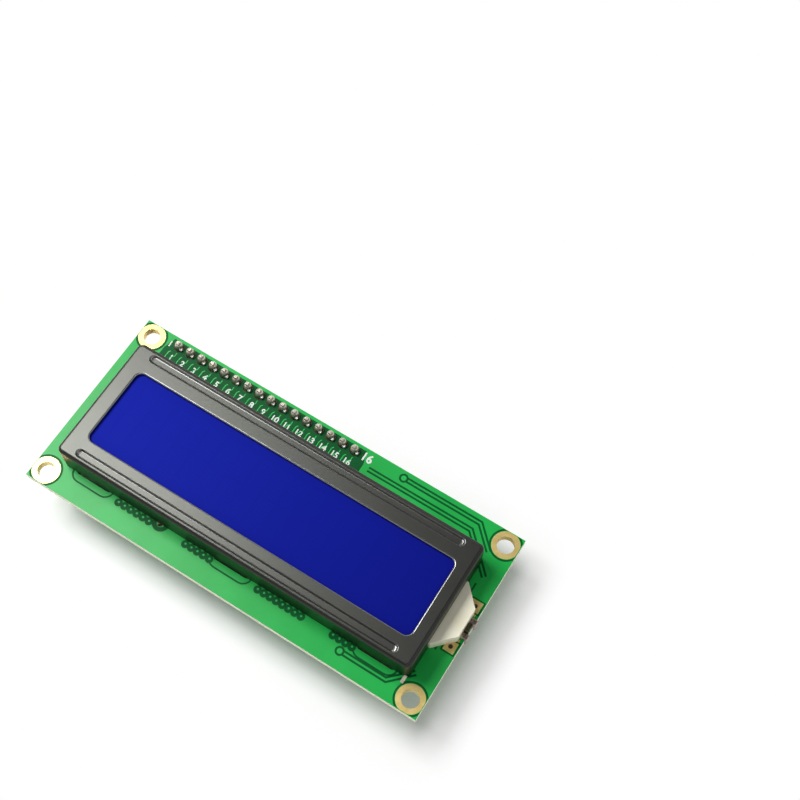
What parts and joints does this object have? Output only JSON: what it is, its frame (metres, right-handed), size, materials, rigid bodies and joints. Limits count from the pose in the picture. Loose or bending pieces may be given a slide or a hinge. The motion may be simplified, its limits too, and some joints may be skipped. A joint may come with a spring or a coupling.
{
  "type": "character display module",
  "caption": "Character LCD module: green board with black steel bezel over a blue display window, pin row and a small black bus adapter board on its back.",
  "frame": {"origin": "centre of the four mounting holes on the display side of the main board", "axes": "+X along the long side from pin 1 towards the backlight lamp, +Y towards the pin row, +Z out of the display"},
  "size_m": [0.0804, 0.0361, 0.0175],
  "materials": {
    "black_board": "black solder mask over glass-fibre board",
    "black_plastic": "black moulded plastic",
    "black_resin": "black potting resin, satin",
    "black_steel": "satin black coated sheet steel",
    "blue_film": "deep blue polarising film",
    "blue_plastic": "light blue moulded plastic",
    "chip_plastic": "dark grey moulding compound",
    "chip_resistor": "ceramic chip with black coat and tinned ends",
    "contact_rubber": "silicone rubber with carbon layers",
    "dark_resin": "dark lamp package",
    "display_glass": "clear float glass",
    "gold_pin": "thinly gold-plated brass",
    "green_board": "glossy green solder mask over glass-fibre board",
    "solder": "bright tin solder",
    "tan_ceramic": "tan ceramic with tinned ends",
    "tinned_pin": "tin-plated brass",
    "white_film": "white optical film",
    "white_plastic": "milky moulded plastic"
  },
  "bodies": {
    "module": {"backlight_lamp": "dark_resin", "backlight_terminals": "solder", "backpack_board": "black_board", "backpack_resistor_1": "chip_resistor", "backpack_resistor_2": "chip_resistor", "backpack_resistor_3": "chip_resistor", "backpack_resistor_4": "chip_resistor", "backpack_resistor_5": "chip_resistor", "backpack_resistor_6": "chip_resistor", "backpack_resistor_7": "chip_resistor", "bezel": "black_steel", "board_resistor_1": "chip_resistor", "board_resistor_2": "chip_resistor", "board_resistor_3": "chip_resistor", "board_resistor_4": "chip_resistor", "board_resistor_5": "chip_resistor", "bridge_solder": "solder", "bus_header_block": "black_plastic", "bus_header_pins": "gold_pin", "bypass_capacitor": "tan_ceramic", "controller_blob": "black_resin", "diffuser_sheet": "white_film", "driver_blob": "black_resin", "expander_chip": "chip_plastic", "expander_leads": "tinned_pin", "front_glass": "display_glass", "front_polarizer": "blue_film", "header_pins": "tinned_pin", "header_solder_back": "solder", "header_solder_front": "solder", "header_strip": "black_plastic", "jumper_header_block": "black_plastic", "jumper_header_pins": "gold_pin", "light_guide": "white_plastic", "main_board": "green_board", "power_lamp": "white_plastic", "rear_glass": "display_glass", "rear_polarizer": "blue_film", "reflector_sheet": "white_film", "transistor_body": "chip_plastic", "transistor_leads": "tinned_pin", "trimmer_housing": "blue_plastic", "trimmer_leads": "tinned_pin", "zebra_strip_lower": "contact_rubber", "zebra_strip_upper": "contact_rubber"},
    "trimmer_rotor": {"trimmer_rotor": "white_plastic"},
    "jumper_cap": {"jumper_cap": "black_plastic", "jumper_contact": "tinned_pin"}
  },
  "joints": [
    {"name": "trimmer_turn", "type": "hinge", "parent": "module", "child": "trimmer_rotor", "pos_m": [-0.0246, 0.0107, -0.01], "axis": [0, 0, 1], "range_deg": [-120, 120]},
    {"name": "jumper_slide", "type": "slide", "parent": "module", "child": "jumper_cap", "axis": [1, 0, 0], "range_m": [0, 0.0075]}
  ]
}
